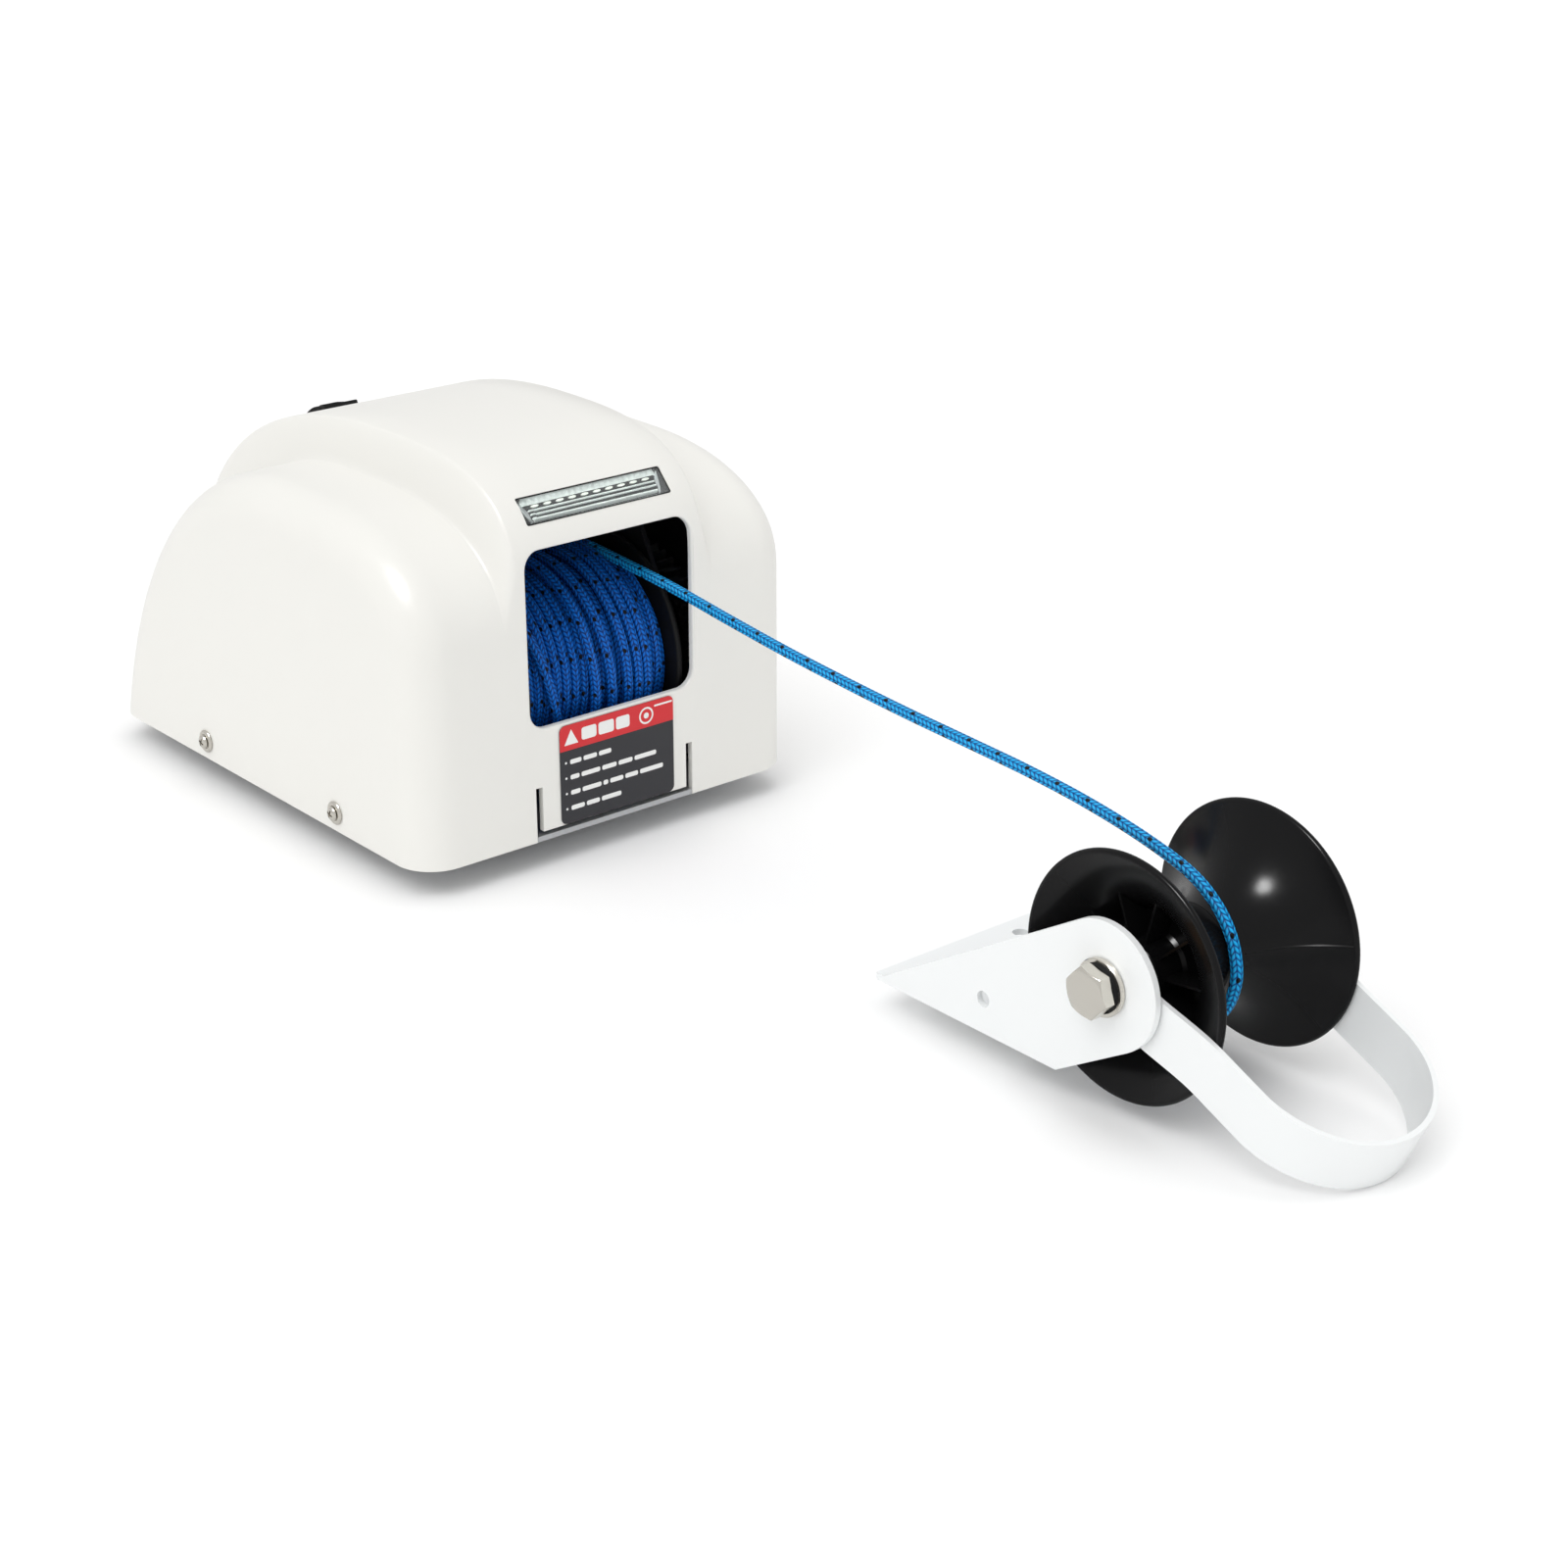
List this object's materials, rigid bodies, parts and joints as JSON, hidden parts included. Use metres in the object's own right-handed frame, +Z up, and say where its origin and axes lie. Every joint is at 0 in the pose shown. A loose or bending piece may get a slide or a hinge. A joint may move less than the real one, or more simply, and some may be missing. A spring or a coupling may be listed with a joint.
{
  "type": "anchor windlass",
  "caption": "Electric anchor windlass: a covered rope drum with a front window and work light, and a separate bow roller bracket with a bail, with rope run between them.",
  "frame": {"origin": "on the deck plane under the middle of the drum unit's base plate", "axes": "-Z into the deck; -Y forward over the bow, the way the rope leaves; +X to the right for someone who looks at the drum window from the bow; +Z up"},
  "size_m": [0.2272, 0.7374, 0.1907],
  "materials": {
    "stainless": "satin",
    "white_powder_coat": "gloss",
    "zinc_plate": "satin",
    "black_nylon": "satin",
    "black_rubber": "satin",
    "ivory_abs": "satin gloss",
    "label_film": "satin",
    "bronze": "machined",
    "gear_steel": "machined",
    "green_board": "satin",
    "chrome_plate": "polished",
    "clear_lens": "clear polycarbonate",
    "copper_wire": "enamelled wire",
    "motor_enamel": "satin",
    "brass_bars": "machined",
    "cast_aluminium": "cast",
    "ferrite": "sintered",
    "roller_plastic": "gloss",
    "blue_rope": "braided"
  },
  "bodies": {
    "frame": {"axle_bolt": "stainless", "axle_nut": "stainless", "base_tray": "zinc_plate", "cable_gland": "black_nylon", "circuit_breaker": "black_nylon", "control_box": "black_nylon", "cover": "ivory_abs", "cover_screw_1": "stainless", "cover_screw_2": "stainless", "cover_screw_3": "stainless", "cover_screw_4": "stainless", "davit_bracket": "white_powder_coat", "drum_bush_left": "bronze", "drum_bush_right": "bronze", "front_label": "label_film", "gear_plate": "zinc_plate", "gear_standoff_1": "zinc_plate", "gear_standoff_2": "zinc_plate", "gear_standoff_3": "zinc_plate", "head_washer": "stainless", "idler_shaft": "stainless", "light_board": "green_board", "light_housing": "chrome_plate", "light_lens": "clear_lens", "motor_can": "motor_enamel", "motor_front_cap": "cast_aluminium", "motor_magnet_1": "ferrite", "motor_magnet_2": "ferrite", "motor_rear_cap": "motor_enamel", "motor_screw_1": "stainless", "motor_screw_2": "stainless", "nut_washer": "stainless", "relay_down": "black_nylon", "relay_up": "black_nylon", "roller_sleeve": "bronze", "rope_knot": "blue_rope", "rope_run": "blue_rope", "screw_washer_1": "stainless", "screw_washer_2": "stainless", "screw_washer_3": "stainless", "screw_washer_4": "stainless", "side_bracket_left": "zinc_plate", "side_bracket_right": "zinc_plate", "switch_bezel": "black_nylon", "switch_body": "black_nylon"},
    "drum": {"drum_spool": "black_nylon", "rope_winding": "blue_rope", "drum_shaft": "stainless", "drum_gear": "gear_steel"},
    "idler": {"idler_gear": "gear_steel", "idler_pinion": "gear_steel"},
    "motor_rotor": {"motor_shaft": "stainless", "motor_armature": "copper_wire", "motor_commutator": "brass_bars", "motor_pinion": "gear_steel"},
    "rocker": {"switch_rocker": "black_rubber"},
    "roller": {"roller_left": "roller_plastic", "roller_right": "roller_plastic"},
    "bail": {"bail_strap": "white_powder_coat"}
  },
  "joints": [
    {"name": "drum_spin", "type": "hinge", "parent": "frame", "child": "drum", "pos_m": [0, -0.085, 0.066], "axis": [1, 0, 0], "continuous": true},
    {"name": "idler_spin", "type": "hinge", "parent": "frame", "child": "idler", "pos_m": [0, -0.02908, 0.06896], "axis": [1, 0, 0], "continuous": true},
    {"name": "motor_spin", "type": "hinge", "parent": "frame", "child": "motor_rotor", "pos_m": [0, 0.005, 0.05], "axis": [1, 0, 0], "continuous": true},
    {"name": "roller_spin", "type": "hinge", "parent": "frame", "child": "roller", "pos_m": [0.029, -0.48, 0.0458], "axis": [1, 0, 0], "continuous": true},
    {"name": "bail_swing", "type": "hinge", "parent": "frame", "child": "bail", "pos_m": [0.029, -0.48, 0.0458], "axis": [1, 0, 0], "range_deg": [-84, 50]},
    {"name": "rocker_tilt", "type": "hinge", "parent": "frame", "child": "rocker", "pos_m": [-0.008, 0.082, 0.14566], "axis": [1, 0, 0], "range_deg": [-8, 8], "stiffness_Nm_per_rad": 0.05}
  ],
  "couplings": [
    {"joint": "idler_spin", "follows": "drum_spin", "ratio": -3.6667},
    {"joint": "motor_spin", "follows": "drum_spin", "ratio": 12.222}
  ]
}
